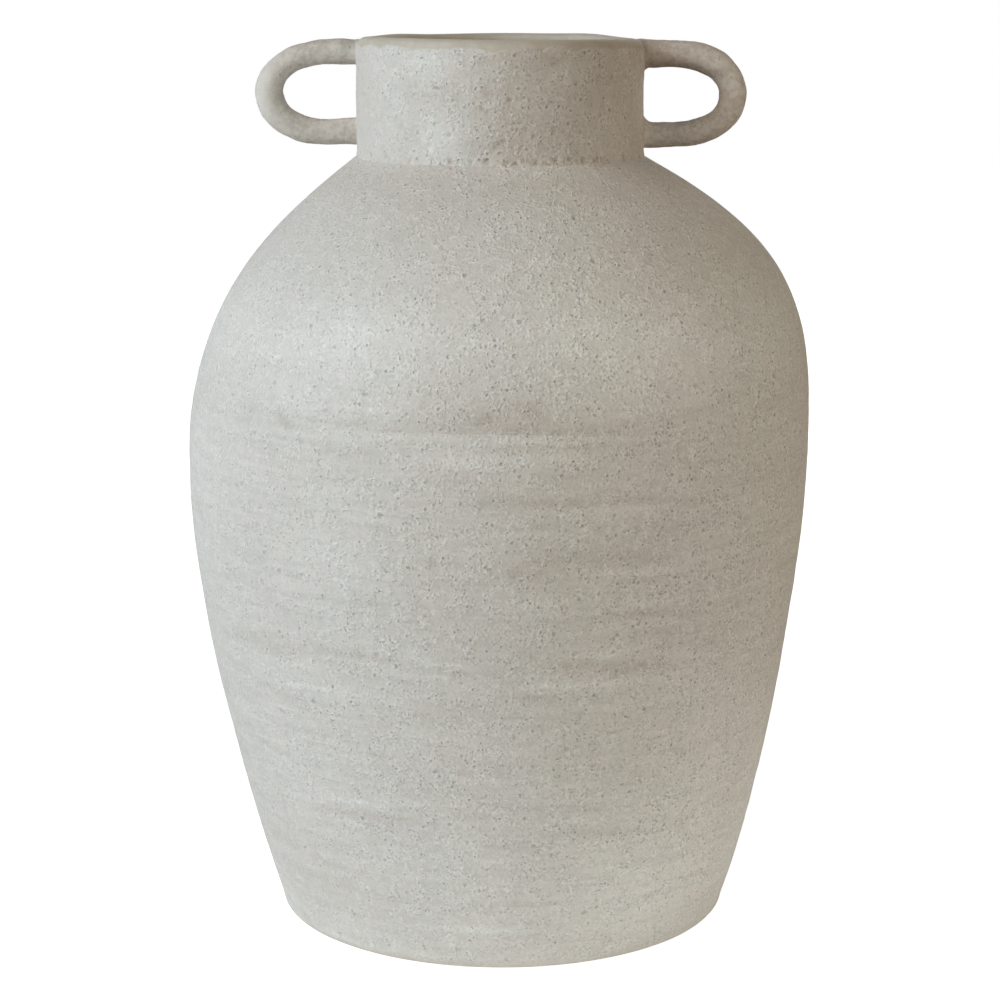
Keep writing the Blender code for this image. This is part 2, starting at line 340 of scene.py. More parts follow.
# Texture map: height of a strip and of the gaps, as shares of the map
MAP_STRIP = 0.43
MAP_GAP = 0.008

# Colours, as linear red, green and blue, and where two stand together the surface varies from the
# first to the second
COAT_COLORS = ((0.59, 0.563, 0.513), (0.642, 0.613, 0.563))
CLAY_COLORS = ((0.485, 0.44, 0.362), (0.555, 0.51, 0.43))
HANDLE_COLORS = ((0.48, 0.425, 0.364), (0.64, 0.591, 0.527))
TINTS = ((0.992, 1.0, 0.992), (1.008, 0.992, 0.994))
# Colour of the painted highlights on the handles
HANDLE_HIGHLIGHT = (0.685, 0.663, 0.604)
GRAIN_COLOR = (0.78, 0.76, 0.71)
# Darkening in the pits, partly stain and partly painted shade: its colour, and its share in coarse and
# fine pits
PIT_COLOR = (0.295, 0.275, 0.24)
PIT_STAIN_AND_SHADE = 0.42
FINE_PIT_STAIN_AND_SHADE = 0.8
GRIT_CONTRAST = 0.16
STREAK_CONTRAST = 0.32
# How much tones lighten and darken, and powers that make darker places warmer, as places in shade are;
# the tones carry painted light and shade besides the coat's own tone
TONE_CONTRAST = 0.15
TONE_GREEN = 1.2
TONE_BLUE = 1.35
# Tone at which a handle's painted highlight is full
HIGHLIGHT_TONE = 1.2
WHITE = (1.0, 1.0, 1.0)

# Level of the sheen, and how matt the surfaces are, from and to
SHEEN_LEVEL = 0.3
COAT_MATT = (0.86, 0.98)
CLAY_MATT = (0.62, 0.74)
HANDLE_MATT = (0.8, 0.92)

# Pits and grains of the looks: spacing and radius in metres, and the share of places that have one
FINE_PITS = (0.0014, 0.00042, 0.85)
MIDDLE_PITS = (0.0024, 0.00054, 0.5)
LARGE_PITS = (0.0064, 0.0009, 0.35)
HANDLE_PITS = (0.0034, 0.00055, 0.55)
GRANULE = 0.00135
GRANULE_EDGE = (0.15, 0.75)
SHAKE = 0.0009
SHAKE_SIZE = 0.0012

# Form of those pits: sizes and least depth as shares, and then, in radii of the pit, where its
# bowl ends and where its rim rises and falls
BOWL_SIZES = (0.6, 1.4)
BOWL_SHALLOW = 0.35
BOWL_EDGE = (0.3, 1.05)
PIT_RIM_RISE = (0.85, 1.25)
PIT_RIM_FALL = (1.3, 2.1)

# Noises of the looks: size of the features in metres, detail and roughness. Scales stretch some
# of them along the turning
GRIT = (0.001, 3.0, 0.6)
SAND = (0.00042, 1.0, 0.5)
SWELL = (0.0045, 2.0, 0.68)
MOTTLE = (0.013, 3.0, 0.55)
CLOUD = (0.05, 2.0, 0.5)
WARMTH = (0.009, 2.0, 0.5)
CLUSTER = (0.0055, 2.0, 0.5)
CLAY = (0.006, 3.0, 0.6)
STREAK = (0.0027, 2.0, 0.5)
STREAK_SCALE = (0.09, 0.09, 1.0)
CLAY_RING = (0.0016, 1.0, 0.5)
CLAY_RING_SCALE = (0.03, 0.03, 1.0)
BLOTCH = (0.01, 3.0, 0.6)
FINE_MOTTLE = (0.0022, 2.0, 0.6)
SPECK = (0.0011, 2.0, 0.5)

# Ranges of noise values that are spread from 0 to 1
NOISE_RANGE = (0.3, 0.7)
PATCH_RANGE = (0.36, 0.64)
WARMTH_RANGE = (0.35, 0.65)
CLUSTER_RANGE = (0.4, 0.6)
HANDLE_RANGE = (0.38, 0.62)

# How gritty and streaky the coat is: in calm and rough clusters, and where that changes along X
# or up Z
CALM = 0.45
ROUGH = 1.35
SIDES = (-0.095, 0.06)
LEFT_CALM = 0.78
RIGHT_ROUGH = 1.2
FOOT_RISE = (0.01, 0.07)
FOOT_CALM = 0.8
SHOULDER_RISE = (0.225, 0.255)
SHOULDER_CALM = 0.84
STREAK_RISE = (0.212, 0.236)
STREAK_CALM = 0.2
NECK_CALM_END = -0.036
NECK_CALM_RISE = 0.002
NECK_CALM = 0.35

# Heights in millimetres that the parts of a surface add to its bump
GRITTY_HEIGHTS = {"fine_rims": 0.11, "granules": 0.12, "grit": 0.21}
COAT_HEIGHTS = {
    "gritty": 1.0, "fine_pits": -0.23, "pits": -0.33, "rims": 0.12,
    "large_pits": -0.4, "large_rims": 0.08, "swell": 0.22, "streak": 0.5,
}
CLAY_RING_HEIGHT = 0.05
HANDLE_HEIGHTS = {"fine": 0.34, "pits": -0.3, "rims": 0.06}

# Shares that the parts of a surface have in its colour
PATCH_SHARES = {"mottle": 0.3, "cloud": 0.25, "swell": 0.45}
GRAINY_SHARES = {"grit": 0.55, "sand": 0.45}
FINE_RAISED_SHARES = {"granules": 0.46, "fine_rims": 0.52}
RAISED_SHARES = {"fine_raised": 1.0, "rims": 0.55, "large_rims": 0.2}
HANDLE_SHARES = {"blotch": 0.48, "fine": 0.38, "speck": 0.14}

# Floor of the studio: it glows near the vase, keeps its shadow, and is plain white further out
FLOOR_SIZE = 16
FLOOR_COLOR = (0.86, 0.85, 0.83)
FLOOR_GLOW = 0.335
FLOOR_GLOW_COLOR = (0.84, 0.92, 1.0)
FLOOR_GLOW_EDGE = (0.12, 0.45)
FLOOR_SHADE = 0.86
FLOOR_SHADE_EDGE = (0.22, 0.6)

# Soft boxes round the vase: name, direction and rise in degrees, size in metres, level and colour,
# where level 1 lights a surface that faces the box so that it looks as it is painted
LAMP_DISTANCE = 2.2
LAMP_TARGET = 0.17
LAMPS = (
    ("window", -160, 22, 0.9, 0.574, (0.71, 0.85, 1.0)),
    ("high_window", -142, 42, 0.9, 0.214, (1.0, 0.78, 0.56)),
    ("front", -90, 30, 1.2, 0.231, (0.85, 0.95, 1.0)),
    ("low_fill", -27, 12, 1.2, 0.212, (1.0, 0.765, 0.495)),
    ("back", 70, 20, 1.2, 0.12, (1.0, 0.93, 0.84)),
    ("overhead", -90, 82, 1.4, 0.04, (1.0, 0.96, 0.9)),
)


def add_camera():
    """The camera that took the photograph."""
    data = bpy.data.cameras.new("camera")
    data.sensor_width = SENSOR
    data.lens = CAMERA_LENS
    data.clip_start, data.clip_end = CLIP
    camera = bpy.data.objects.new("camera", data)
    camera.location = (0, -CAMERA_DISTANCE, CAMERA_HEIGHT)
    camera.rotation_euler = (math.radians(90 - CAMERA_PITCH), 0, 0)
    bpy.context.scene.collection.objects.link(camera)
    bpy.context.scene.camera = camera


add_camera()


# Lines

def outline_of(*parts):
    """One outline from parts that are points or rows of points."""
    return np.vstack([np.atleast_2d(np.array(part, float)) for part in parts])


def directions(line):
    along = np.gradient(line, axis=0)
    return along / np.linalg.norm(along, axis=1)[:, None]


def travelled_at(line):
    """Length travelled along a line at each of its points."""
    return np.concatenate([[0], np.cumsum(np.linalg.norm(np.diff(line, axis=0), axis=1))])


def rows_at(line, travelled, stops):
    """Rows of a line where the length travelled has the values of the stops."""
    return np.stack([np.interp(stops, travelled, column) for column in line.T], axis=1)


# Outline of the body

def curve_between(start, end, pulls):
    """Dense points of a cubic curve, whose pulls are shares of the way across and of the way up."""
    start, end = np.array(start), np.array(end)
    bends = [start + (end - start) * pull for pull in pulls]
    t = np.linspace(0, 1, CURVE_STEPS)[:, None]
    outward = (1 - t) ** 3 * start + 3 * t * (1 - t) ** 2 * bends[0]
    return outward + 3 * t * t * (1 - t) * bends[1] + t**3 * end


def body_outlines():
    """The outside and the inside of the body, as radius and height from the floor to the neck."""
    belly = (BELLY_RADIUS, BELLY_HEIGHT)
    lower = curve_between((BASE_RADIUS, 0.0), belly, LOWER_PULLS)
    upper = curve_between(belly, (NECK_RADIUS, NECK_ROOT), UPPER_PULLS)
    outer = np.vstack([lower, upper[1:]])
    along = directions(outer)
    inner = outer + BODY_WALL * np.stack([-along[:, 1], along[:, 0]], axis=1)
    return outer, inner


OUTER, INNER = body_outlines()


def radius_at(outline, height):
    return np.interp(height, outline[:, 1], outline[:, 0])


def stretch(outline, low, high, spacing):
    """Evenly spaced points of a rising outline between two heights."""
    inside = outline[(outline[:, 1] > low) & (outline[:, 1] < high)]
    line = outline_of((radius_at(outline, low), low), inside, (radius_at(outline, high), high))
    travelled = travelled_at(line)
    stops = np.linspace(0, travelled[-1], max(2, round(travelled[-1] / spacing) + 1))
    return rows_at(line, travelled, stops)


def sideways_at(height):
    """Shift along X that follows the hand-made lean of the shoulder and the sway below it."""
    share = np.clip((height - BELLY_HEIGHT) / (NECK_ROOT - BELLY_HEIGHT), 0, 1)
    lean = LEAN * np.sin(np.pi * share**LEAN_SKEW)
    sway = -SWAY * np.sin(2 * np.pi * (height - SWAY_ZERO) / SWAY_WAVE)
    return lean + np.where(height < SWAY_ZERO + SWAY_WAVE / 2, sway, 0.0)


# Relief of the surface

def waves(points, height, cell, seed):
    """Smooth noise of about plus or minus a height at points, with waves about two cells long."""
    shift = Vector(NOISE_SHIFT) * seed
    spots = (np.asarray(points) / cell).reshape(-1, 3).tolist()
    values = [perlin.noise(Vector(spot) + shift) for spot in spots]
    return height * np.array(values).reshape(np.shape(points)[:-1])


def bump_at(values, center, spread):
    """A smooth bump of height 1 round a value."""
    return np.exp(-(((values - center) / spread) ** 2))


def angle_from(theta, center):
    """Degrees from a direction, between -180 and 180."""
    return (np.degrees(theta) - center + 180) % 360 - 180


def side_at(theta, center, spread):
    """A share that is 1 at a direction and falls off on both sides of it."""
    return bump_at(angle_from(theta, center), 0, spread)


def seam_shift(theta):
    """How far the belly seam dips on both sides of its arch over the front."""
    turn = np.clip(angle_from(theta, SEAM_ARCH_CENTER) / SEAM_ARCH_WIDTH, -1, 1)
    return -SEAM_DROP - SEAM_ARCH * np.abs(np.sin(np.pi * turn)) ** 3


def follow_seam(points, theta):
    """Bends the rows near the belly seam to its arch."""
    near = np.clip(1 - np.abs(points[..., 2] - BELLY_SEAM) / SEAM_REACH, 0, 1)
    points[..., 2] += seam_shift(theta) * near**2


def marks_at(theta, height):
    """Relief of the single marks, with painted light on their crests and painted shade in their creases.
    """
    relief, tone = np.zeros(theta.shape), np.zeros(theta.shape)
    height = height * MILLIMETRES
    for angle, half_length, level, rise, thickness, strength in BODY_MARKS:
        across = angle_from(theta, angle) / half_length
        band = (height - level - rise * across / 2) / thickness
        form = strength * np.exp(-(band**2) - across**4)
        relief += CREASE * form
        tone += form
    return relief, tone


def tones_at(tones, theta, height):
    """Sum of broad tones at angles and heights."""
    total = np.zeros(theta.shape)
    height = height * MILLIMETRES
    for angle, half_length, level, thickness, strength in tones:
        across = angle_from(theta, angle) / half_length
        total += strength * np.exp(-(((height - level) / thickness) ** 2) - across**4)
    return total


def ridge_at(points, theta, above_seam):
    """Relief of the belly ridge, with painted shade in its recess above the seam, partly a thinner coat
    there, and a painted highlight on its edge below.
    """
    strength = side_at(theta, *RIDGE_SIDE) * (1 + waves(points, *RIDGE_PATCHES))
    away = np.abs(points[..., 2] - BELLY_SEAM - seam_shift(theta))
    if above_seam:
        relief = -RIDGE_STEP / 2 * strength * np.exp(-away / RIDGE_ABOVE)
        line = strength * bump_at(away, RIDGE_SHADE_RISE, RIDGE_SHADE_SOFT)
        band = side_at(theta, *RIDGE_BAND_SIDE)
        tone = -RIDGE_SHADE_TONE * line - RIDGE_BAND_TONE * band * bump_at(away, 0, RIDGE_BAND_RISE)
        return relief, tone
    relief = RIDGE_STEP / 2 * strength * np.exp(-away / RIDGE_BELOW)
    return relief, RIDGE_HIGHLIGHT_TONE * strength * bump_at(away, RIDGE_EDGE_DROP, RIDGE_EDGE_DROP)


def throwing_marks(points):
    """Long streaks that run slightly downhill, with calm stretches between them."""
    theta = np.arctan2(points[..., 1], points[..., 0])
    tilted = points.copy()
    tilted[..., 2] += THROW_TILT * np.sin(theta + THROW_TILT_PHASE)
    streaks = waves(tilted, *FINE_THROWS) + waves(tilted, *BROAD_THROWS)
    where = np.clip(THROW_COVER + waves(points, *THROW_PATCHES), 0, 1)
    height = points[..., 2]
    below_shoulder = 1 / (1 + np.exp((height - THROW_TOP) / THROW_TOP_SOFT))
    above_foot = 1 / (1 + np.exp((THROW_FOOT - height) / THROW_FOOT_SOFT))
    return streaks * where * (THROW_REST + (1 - THROW_REST) * below_shoulder * above_foot)


def body_surface(theta, points, above_seam):
    """How far the body's outside stands out from its plain outline, and its coat's tone with painted
    light and shade.
    """
    height = points[..., 2]
    lumps = waves(points, *BODY_LUMPS) + waves(points, *BODY_DENTS)
    mark_relief, mark_light_and_shade = marks_at(theta, height)
    ridge_relief, ridge_light_and_shade = ridge_at(points, theta, above_seam)
    broken = 1 + waves(points, *MARK_PATCHES)
    # The tone adds the painted light and shade of the marks and the ridge to the broad patches
    tone = MARK_TONE * (mark_light_and_shade + ridge_light_and_shade) * broken + tones_at(COAT_TONES, theta, height)
    return lumps + throwing_marks(points) + mark_relief + ridge_relief, tone


# Grids and meshes

def turn_rings(outline, columns):
    """Angles and points of an outline turned about the axis, indexed by ring and column."""
    theta = np.linspace(-math.pi, math.pi, columns, endpoint=False)
    theta = np.tile(theta, (len(outline), 1))
    radius, height = outline[:, 0, None], outline[:, 1, None]
    points = np.stack([radius * np.cos(theta), radius * np.sin(theta), height + 0 * theta], axis=2)
    return theta, points


def push_out(points, theta, distance):
    points[..., 0] += distance * np.cos(theta)
    points[..., 1] += distance * np.sin(theta)


def shift_sideways(points):
    points[..., 0] += sideways_at(points[..., 2])


def grid_mesh(name, grid, outside_rings, attributes):
    """A closed mesh from rings of points, indexed by ring, column and axis.

    The columns go all the way round. With rings on the outside the last ring meets the first one,
    and with none both ends are capped with a fan. Attributes hold one value a point.
    """
    rings, columns = grid.shape[:2]
    bands = rings if outside_rings else rings - 1
    ring = np.repeat(np.arange(bands), columns)
    column = np.tile(np.arange(columns), bands)
    next_ring, next_column = (ring + 1) % rings, (column + 1) % columns
    corners = ((next_ring, column), (next_ring, next_column), (ring, next_column), (ring, column))
    faces = np.stack([r * columns + c for r, c in corners], axis=1).tolist()
    verts = grid.reshape(-1, 3)
    if not outside_rings:
        for row, order in ((0, -1), (rings - 1, 1)):
            middle = len(verts)
            verts = np.vstack([verts, grid[row].mean(axis=0)])
            edge = np.arange(columns) + row * columns
            fan = np.stack([np.full(columns, middle), np.roll(edge, -1), edge], axis=1)
            faces += fan[:, ::order].tolist()
    mesh = bpy.data.meshes.new(name)
    mesh.from_pydata(verts.tolist(), [], faces)
    for label, values in attributes.items():
        padding = np.full(len(verts) - rings * columns, np.ravel(values)[-1])
        layer = mesh.attributes.new(label, "FLOAT", "POINT")
        layer.data.foreach_set("value", np.concatenate([np.ravel(values), padding]))
    mesh.shade_smooth()
    mesh.set_sharp_from_angle(angle=SHARP)
    if outside_rings:
        unroll(mesh, grid, ring, column, outside_rings)
    return mesh


def unroll(mesh, grid, ring, column, outside_rings):
    """Texture map: the front and the back of the outside as two wide strips, and the rest."""
    columns = grid.shape[1]
    half = columns // 2
    steps = np.linalg.norm(grid - np.roll(grid, -1, axis=0), axis=2).mean(axis=1)
    travelled = np.concatenate([[0], np.cumsum(steps)])
    out_end = travelled[outside_rings]
    outside = (ring < outside_rings)[:, None]
    front = (column < half)[:, None]
    turn = np.stack([column, column + 1, column + 1, column], axis=1)
    along = travelled[np.stack([ring + 1, ring + 1, ring, ring], axis=1)]
    across_half = (turn - np.where(front, 0, half)) / half
    u = np.where(outside, across_half, turn / columns)
    rise = along / out_end * MAP_STRIP
    rest = (along - out_end) / (travelled[-1] - out_end)
    second, third = MAP_STRIP + MAP_GAP, 2 * (MAP_STRIP + MAP_GAP)
    v = np.where(outside, np.where(front, rise, second + rise), third + rest * (1 - third - MAP_GAP))
    layer = mesh.uv_layers.new(name="OFBake")
    spots = np.stack([MAP_GAP + u * (1 - 2 * MAP_GAP), MAP_GAP / 2 + v], axis=2)
    layer.data.foreach_set("uv", spots.ravel())


def add_piece(node, mesh, material):
    """The dressed piece of a CAD solid, which takes the solid's place in the scene."""
    piece = bpy.data.objects.new(node + "_fired", mesh)
    bpy.context.scene.collection.objects.link(piece)
    mesh.materials.append(material)
    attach(piece, "root")
    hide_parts(node)


def add_coated_piece(node, points, outside_rings, outer, coat, tone, material):
    """A piece whose coat and tone are given for its outer rows and are 0 elsewhere."""
    attributes = {"coat": np.zeros(points.shape[:2]), "tone": np.zeros(points.shape[:2])}
    attributes["coat"][outer] = coat
    attributes["tone"][outer] = tone
    mesh = grid_mesh(node + "_fired", points, outside_rings, attributes)
    add_piece(node, mesh, material)


# Pieces of the body

def arc(center, across, up, start, end, count):
    """Points of an elliptic edge between two angles in degrees, 0 being outward and 90 up."""
    angle = np.radians(np.linspace(start, end, count))
    return np.stack([center[0] + across * np.cos(angle), center[1] + up * np.sin(angle)], axis=1)


def straight(start, end, spacing):
    length = math.dist(start, end)
    return np.linspace(start, end, max(2, round(length / spacing) + 1))


def foot_slab(material):
    """The foot: a coated rounded edge, a bare underside and a floor with a spiral inside."""
    edge = radius_at(OUTER, FOOT_ROUND)
    spigot = radius_at(INNER, FOOT_LEDGE) - SLIP
    top = FOOT_LEDGE + FOOT_SPIGOT
    inside = straight((DISC_EYE, top), (spigot, top), FLOOR_ROW)
    side = outline_of((spigot, FOOT_LEDGE), (radius_at(OUTER, FOOT_LEDGE), FOOT_LEDGE))
    center = (edge - FOOT_ROUND, FOOT_ROUND)
    rounded = arc(center, FOOT_ROUND, FOOT_ROUND, 0, -90, FOOT_EDGE_POINTS)
    under = straight((edge - FOOT_ROUND, 0.0), (DISC_EYE, 0.0), HIDDEN_ROW)[1:]
    theta, points = turn_rings(outline_of(inside, side, rounded, under), COLUMNS)
    first, count = len(inside) + 1, len(rounded) + 1
    outer = slice(first, first + count)
    relief, tone = body_surface(theta[outer], points[outer], above_seam=False)
    fade = np.linspace(1, 0, count)[:, None] ** 0.5
    fade[:2] = 1
    push_out(points[outer], theta[outer], relief * fade)
    bore = points[:len(inside)]
    radius = np.hypot(bore[..., 0], bore[..., 1])
    spiral = np.cos(2 * np.pi * radius / FLOOR_SPIRAL_PITCH - theta[:len(inside)])
    bore[..., 2] -= FLOOR_SPIRAL_DEPTH * 0.5 * (1 + spiral) * np.clip(1 - radius / spigot, 0, 1)
    shift_sideways(points)
    coat = np.clip(FOOT_COAT_FULL - np.linspace(0, FOOT_COAT_FADE, count), 0, 1)[:, None]
    add_coated_piece("foot_slab", points, 0, outer, coat, tone, material)


def wall_piece(node, outline, outside_rings, above_seam, material):
    """One thrown wall: a turned outline with relief and a coat on its outside."""
    theta, points = turn_rings(outline, COLUMNS)
    follow_seam(points, theta)
    outer = slice(0, outside_rings + 1)
    relief, tone = body_surface(theta[outer], points[outer], above_seam)
    push_out(points[outer], theta[outer], relief)
    shift_sideways(points)
    add_coated_piece(node, points, outside_rings, outer, 1, tone, material)


def lower_wall(material):
    """The wall from the foot to the belly seam, with a tongue that goes into the upper one."""
    tongue = (radius_at(OUTER, BELLY_SEAM) + radius_at(INNER, BELLY_SEAM) - SLIP) / 2
    tongue_top = BELLY_SEAM + JOINT_TONGUE
    outside = stretch(OUTER, FOOT_LEDGE, BELLY_SEAM, ROW)[::-1]
    inside = stretch(INNER, FOOT_LEDGE + SLIP, tongue_top, HIDDEN_ROW)
    outline = outline_of(outside, inside, (tongue, tongue_top), (tongue, BELLY_SEAM))
    wall_piece("lower_wall", outline, len(outside) - 1, False, material)


def upper_wall(material):
    """The wall from the belly seam over the shoulder, with a tongue that goes into the neck."""
    seam = BELLY_SEAM
    rebate = (radius_at(OUTER, seam) + radius_at(INNER, seam) + SLIP) / 2
    rebate_top = seam + SLIP + JOINT_TONGUE
    tongue = NECK_BORE + (NECK_WALL - SLIP) / 2
    tongue_top = NECK_ROOT + JOINT_TONGUE
    outside = stretch(OUTER, seam, NECK_ROOT, ROW)[::-1]
    rising = INNER[(INNER[:, 1] > rebate_top) & (INNER[:, 0] > NECK_BORE + SLIP)]
    corner = rising[-1] + (NECK_BORE - rising[-1, 0], NECK_CORNER_RISE)
    inside = outline_of((radius_at(INNER, rebate_top), rebate_top), rising[::INNER_SKIP], corner)
    ends = ((NECK_BORE, tongue_top), (tongue, tongue_top), (tongue, NECK_ROOT))
    outline = outline_of(outside, (rebate, seam + SLIP), (rebate, rebate_top), inside, *ends)
    wall_piece("upper_wall", outline, len(outside) - 1, True, material)


def lip_wave(theta):
    """Rise and fall of the hand-cut lip."""
    rise = sum(a * np.cos(n * (theta - math.radians(crest))) for n, a, crest in LIP_WAVES)
    return rise + sum(a * side_at(theta, crest, spread) for crest, spread, a in LIP_CRESTS)


def coat_line(theta):
    """Height of the coat's scalloped upper edge, before the lip's waves lift it."""
    sweep = theta * SCALLOPS_PER_RADIAN
    for turns, amount, phase in SCALLOP_SHIFTS:
        sweep = sweep + amount * np.sin(turns * theta + phase)
    slow, quick = SCALLOP_BEATS
    beat = np.sin(slow * theta + SCALLOP_BEAT_PHASE) * np.sin(quick * theta)
    size = SCALLOP_SIZE + SCALLOP_VARIES * beat
    return HEIGHT - COAT_EDGE_DROP + COAT_LOBE * np.abs(np.sin(sweep)) ** SCALLOP_ROUNDNESS * size


def pits_of_neck():
    """Angle, height, radius and depth of each open pit, the last ones in a row along the root."""
    chance = np.random.default_rng(PIT_SEED)
    for number in range(NECK_PITS + ROOT_PITS):
        angle = chance.uniform(-math.pi, math.pi)
        level = chance.uniform(NECK_ROOT + PIT_MARGIN, HEIGHT - COAT_EDGE_DROP - PIT_MARGIN)
        size = PIT_RADIUS * (PIT_SMALLEST + PIT_SIZE_SPREAD * chance.random() ** PIT_SIZE_POWER)
        depths = PIT_DEPTHS
        if number >= NECK_PITS:
            place = number - NECK_PITS + chance.uniform(-ROOT_PIT_JITTER, ROOT_PIT_JITTER)
            angle = -math.pi + 2 * math.pi * place / ROOT_PITS
            level = NECK_ROOT + ROOT_PIT_RISE + chance.normal(0, ROOT_PIT_SPREAD)
            size = PIT_RADIUS * chance.uniform(*ROOT_PIT_SIZES)
            depths = ROOT_PIT_DEPTHS
        yield angle, level, size, PIT_DEPTH * chance.uniform(*depths) * size / PIT_RADIUS


def neck_pits(theta, height):
    """Depth of the pits on the neck's grid, where they are shallower on its left."""
    depth = np.zeros(theta.shape)
    columns = theta.shape[1]
    rows = height[:, 0]
    for angle, level, size, deepest in pits_of_neck():
        reach = math.ceil(PIT_REACH * size / NECK_ROW)
        middle = round((angle + math.pi) / (2 * math.pi) * columns)
        around = np.arange(middle - reach, middle + reach + 1) % columns
        near = np.flatnonzero(np.abs(rows - level) < PIT_REACH * size)
        across = ((theta[0, around] - angle + math.pi) % (2 * math.pi) - math.pi) * NECK_RADIUS
        distance = np.hypot(across[None, :], rows[near, None] - level) / size
        spot = np.ix_(near, around)
        depth[spot] = np.maximum(depth[spot], deepest * np.exp(-(distance**4)))
    return depth * (1 - PIT_CALM * side_at(theta, *PIT_CALM_SIDE))


def neck_relief(theta, points):
    """How far the neck's outside stands out, and the coat's share and the pits' depth there."""
    height = points[..., 2]
    coat = np.clip((coat_line(theta) - height) / COAT_EDGE_SOFT + 0.5, 0, 1)
    dents = waves(points, *NECK_LUMPS) + waves(points, *NECK_DENTS)
    grain = waves(points, *NECK_GRAIN) + waves(points, *NECK_GRIT)
    ragged = 1 + waves(points, *BEAD_PATCHES)
    bead = ROOT_BEAD * ragged * np.exp(-(height - NECK_ROOT) / ROOT_BEAD_RISE)
    pits = neck_pits(theta, height) * coat
    return dents + coat * (COAT_THICKNESS + grain) + bead - pits, coat, pits


def neck_collar(material):
    """The neck: a coated outside with pits, a bare rounded lip and a bare bore."""
    middle = (NECK_RADIUS - NECK_WALL / 2, HEIGHT - LIP_DEPTH)
    half = NECK_WALL / 2
    rebate = NECK_BORE + (NECK_WALL + SLIP) / 2
    seat = NECK_ROOT + SLIP
    rebate_top = seat + JOINT_TONGUE
    lip_out = arc(middle, half, LIP_DEPTH, 90, 0, LIP_OUT_POINTS)
    lip_in = arc(middle, half, LIP_DEPTH, 180, 90, LIP_IN_POINTS)[1:-1]
    wall = straight((NECK_RADIUS, middle[1]), (NECK_RADIUS, NECK_ROOT), NECK_ROW)[1:]
    under = ((NECK_RADIUS - ROOT_INSET, seat), (rebate, seat), (rebate, rebate_top))
    bore = straight((NECK_BORE, rebate_top), (NECK_BORE, middle[1]), BORE_ROW)
    outline = outline_of(lip_out, wall, under, bore, lip_in)
    outside_rings = len(lip_out) + len(wall) - 1
    theta, points = turn_rings(outline, NECK_COLUMNS)
    outer = slice(0, outside_rings + 1)
    relief, coat_outside, pits = neck_relief(theta[outer], points[outer])
    calm = np.clip((HEIGHT - points[outer][..., 2]) / LIP_CALM, 0, 1)
    push_out(points[outer], theta[outer], relief * calm)
    coat = np.zeros(theta.shape)
    coat[outer] = coat_outside
    rise = np.clip((points[..., 2] - HEIGHT + LIP_WAVE_REACH) / LIP_WAVE_REACH, 0, 1)
    points[..., 2] += lip_wave(theta) * rise**2
    points[outside_rings, :, 2] -= ROOT_BEAD + ROOT_TUCK
    # Tone: patches with painted light and shade on the coat and the rim, and darkening in the pits,
    # partly stain and partly painted shade
    tone = coat * tones_at(NECK_TONES, theta, points[..., 2])
    tone += (1 - coat) * tones_at(RIM_TONES, theta, points[..., 2])
    tone[outer] -= PIT_STAIN_AND_SHADE_TONE * pits / PIT_DEPTH
    add_coated_piece("neck_collar", points, outside_rings, slice(None), coat, tone, material)


# Handles

def smooth_line(stations, count):
    """Rows on a smooth curve through rows of station values, closer together at both ends."""
    stations = np.array(stations)
    first, last = 2 * stations[0] - stations[1], 2 * stations[-1] - stations[-2]
    padded = np.vstack([first, stations, last])
    spans = len(stations) - 1
    place = np.linspace(0, spans, CURVE_STEPS * 4)
    span = np.minimum(place.astype(int), spans - 1)
    t = (place - span)[:, None]
    a, b, c, d = (padded[span + step] for step in range(4))
    line = b + 0.5 * t * (c - a + t * (2 * a - 5 * b + 4 * c - d + t * (3 * b - a - 3 * c + d)))
    travelled = travelled_at(line[:, :2])
    share = np.linspace(0, 1, count)
    stops = travelled[-1] * (share - END_CROWDING * np.sin(2 * np.pi * share) / (2 * np.pi))
    return rows_at(line, travelled, stops)


def corner_at(gap, size):
    """Height of a rounded inside corner at a distance from the surface that it leads to."""
    share = np.clip(1 - gap / max(size, TINY), 0, 1)
    return size * (1 - np.sqrt(1 - share**2))


def handle_painted_light(points, tone, patches):
    """Painted light and shade of a handle at its points: one tone for the whole, and patches of painted
    shadow and highlight.
    """
    reach, height = np.abs(points[..., 0]) * MILLIMETRES, points[..., 2] * MILLIMETRES
    total = np.full(reach.shape, tone)
    for center, level, half_width, half_height, strength in patches:
        away = ((reach - center) / half_width) ** 2 + ((height - level) / half_height) ** 2
        total += strength * np.exp(-away)
    return total


